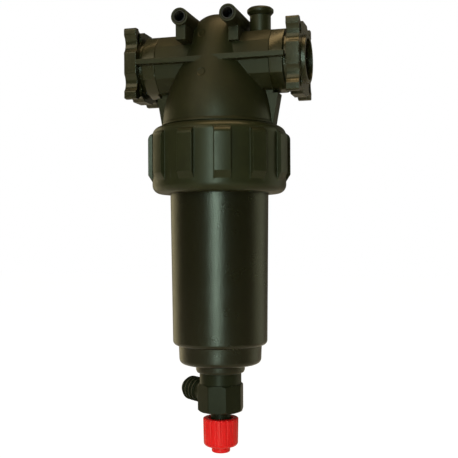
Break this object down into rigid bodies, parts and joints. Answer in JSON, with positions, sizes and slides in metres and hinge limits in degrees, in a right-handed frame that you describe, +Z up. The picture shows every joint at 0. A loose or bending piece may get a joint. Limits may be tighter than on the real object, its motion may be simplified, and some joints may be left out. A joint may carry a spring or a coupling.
{
  "type": "inline filter",
  "caption": "Pressure line filter with flanged side ports, ribbed ring nut, long tapered bowl, inner cartridge and a drain valve with hose tail and red knob.",
  "frame": {"origin": "centre of the bounding box at its lowest face: the lowest point of the drain knob, on the filter's vertical axis", "axes": "+Z up along the filter's axis, +X out of the outlet port along the port line, -Y out of the faces of the mounting bosses"},
  "size_m": [0.146, 0.1132, 0.352],
  "materials": {
    "black_nylon": "satin",
    "nut_black": "satin",
    "bowl_black": "gloss",
    "valve_black": "satin",
    "inner_plastic": "satin",
    "rubber": "matte",
    "steel_mesh": "woven",
    "brass": "machined",
    "steel": "machined",
    "knob_red": "satin"
  },
  "bodies": {
    "filter_head": {"head": "black_nylon", "boss_inserts": "brass", "inlet_flange_adapter": "black_nylon", "outlet_flange_adapter": "black_nylon", "inlet_adapter_o_ring": "rubber", "outlet_adapter_o_ring": "rubber", "gauge_plug": "black_nylon", "gauge_plug_o_ring": "rubber"},
    "cartridge": {"cartridge_top_cap": "inner_plastic", "cartridge_seal": "rubber", "cartridge_cage": "inner_plastic", "filter_mesh": "steel_mesh", "cartridge_bottom_cap": "inner_plastic"},
    "filter_bowl": {"bowl": "bowl_black", "bowl_o_ring": "rubber", "valve_body": "valve_black", "neck_seal": "rubber", "bonnet": "valve_black", "bonnet_o_ring": "rubber", "spindle_o_ring": "rubber"},
    "ring_nut": {"ring_nut": "nut_black"},
    "drain_valve_disc": {"valve_disc": "inner_plastic", "seat_washer": "rubber"},
    "drain_knob": {"drain_knob": "knob_red", "spindle": "brass", "knob_screw": "steel"}
  },
  "joints": [
    {"name": "thread_travel", "type": "slide", "parent": "filter_head", "child": "cartridge", "axis": [0, 0, -1], "range_m": [0, 0.015]},
    {"name": "bowl_drop", "type": "slide", "parent": "cartridge", "child": "filter_bowl", "axis": [0, 0, -1], "range_m": [0, 0.16]},
    {"name": "nut_turn", "type": "hinge", "parent": "filter_bowl", "child": "ring_nut", "pos_m": [0, 0, 0.23], "axis": [0, 0, -1], "range_deg": [0, 1080]},
    {"name": "spindle_lift", "type": "slide", "parent": "filter_bowl", "child": "drain_valve_disc", "axis": [0, 0, -1], "range_m": [0, 0.004]},
    {"name": "knob_turn", "type": "hinge", "parent": "drain_valve_disc", "child": "drain_knob", "pos_m": [0, 0, 0.016], "axis": [0, 0, -1], "range_deg": [0, 720]}
  ],
  "couplings": [
    {"joint": "thread_travel", "follows": "nut_turn", "m_per_rad": 0.000795},
    {"joint": "knob_turn", "follows": "spindle_lift", "rad_per_m": 3140}
  ]
}
